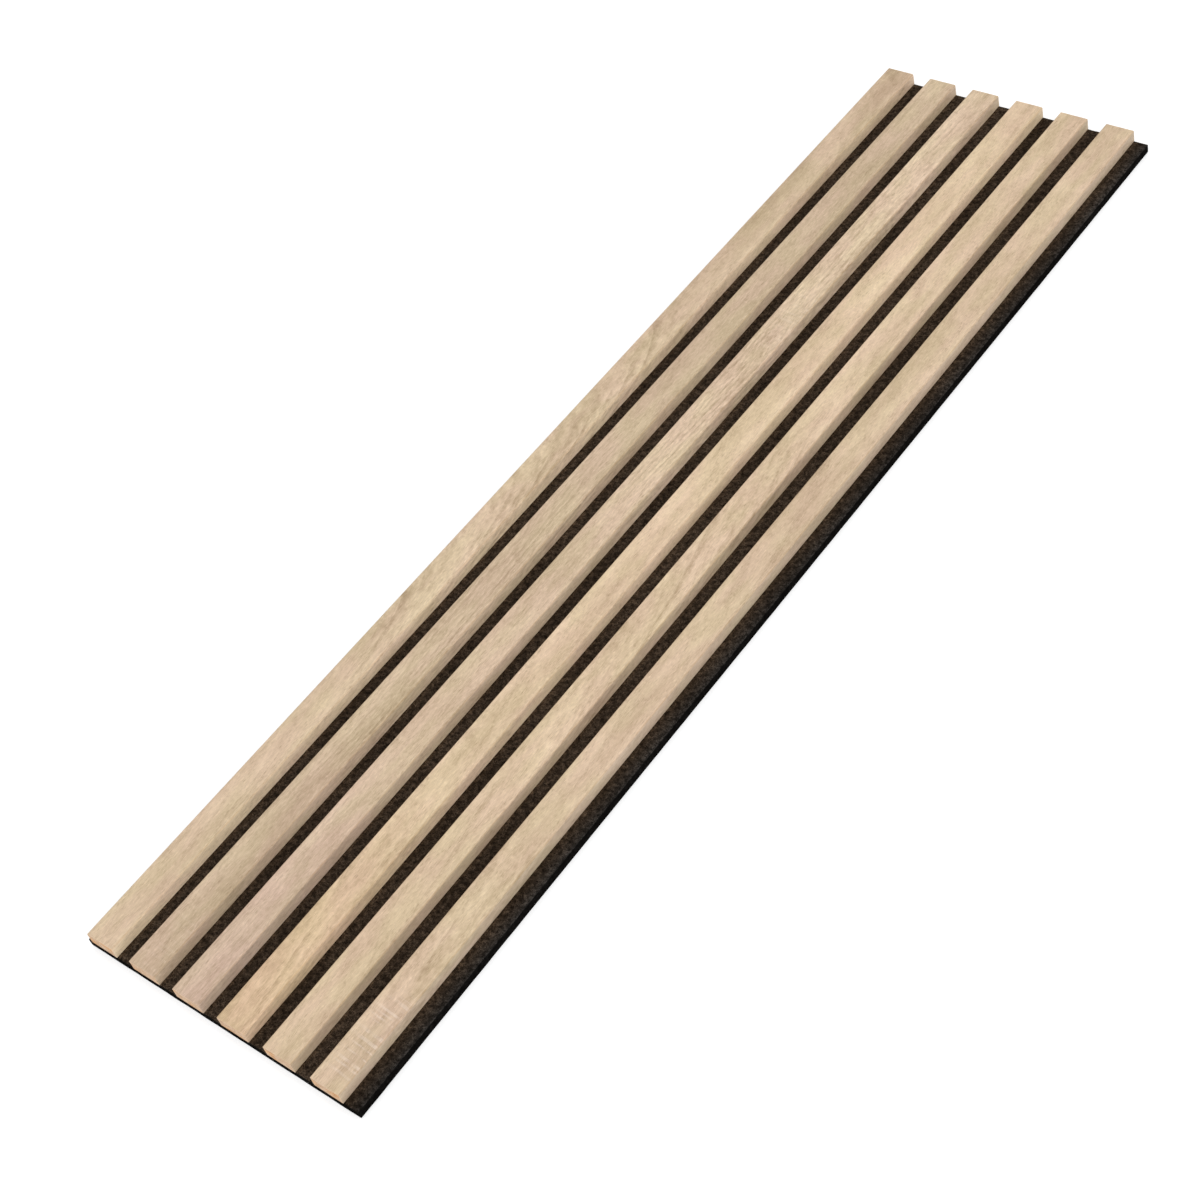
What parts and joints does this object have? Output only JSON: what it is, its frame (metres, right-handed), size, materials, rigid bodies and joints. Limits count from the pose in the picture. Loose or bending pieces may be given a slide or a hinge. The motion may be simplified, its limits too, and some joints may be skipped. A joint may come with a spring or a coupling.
{
  "type": "acoustic slat wall panel",
  "caption": "Flat oblong wall panel of parallel oak-look slats bonded to a black felt sheet, for lining a wall and damping sound.",
  "frame": {"origin": "middle of the felt's back face, which goes against the wall", "axes": "+X across the slats towards the wide felt lip, +Y along the slats, +Z out of the face, away from the wall"},
  "size_m": [0.3, 1.2, 0.021],
  "materials": {
    "felt": "matt needled black felt",
    "slat_core": "raw sawn fibreboard",
    "slat_wrap": "matt light oak decor foil"
  },
  "bodies": {
    "root": {"felt_backing": "felt", "slat_core_1": "slat_core", "slat_core_2": "slat_core", "slat_core_3": "slat_core", "slat_core_4": "slat_core", "slat_core_5": "slat_core", "slat_core_6": "slat_core", "slat_wrap_1": "slat_wrap", "slat_wrap_2": "slat_wrap", "slat_wrap_3": "slat_wrap", "slat_wrap_4": "slat_wrap", "slat_wrap_5": "slat_wrap", "slat_wrap_6": "slat_wrap"}
  },
  "joints": []
}
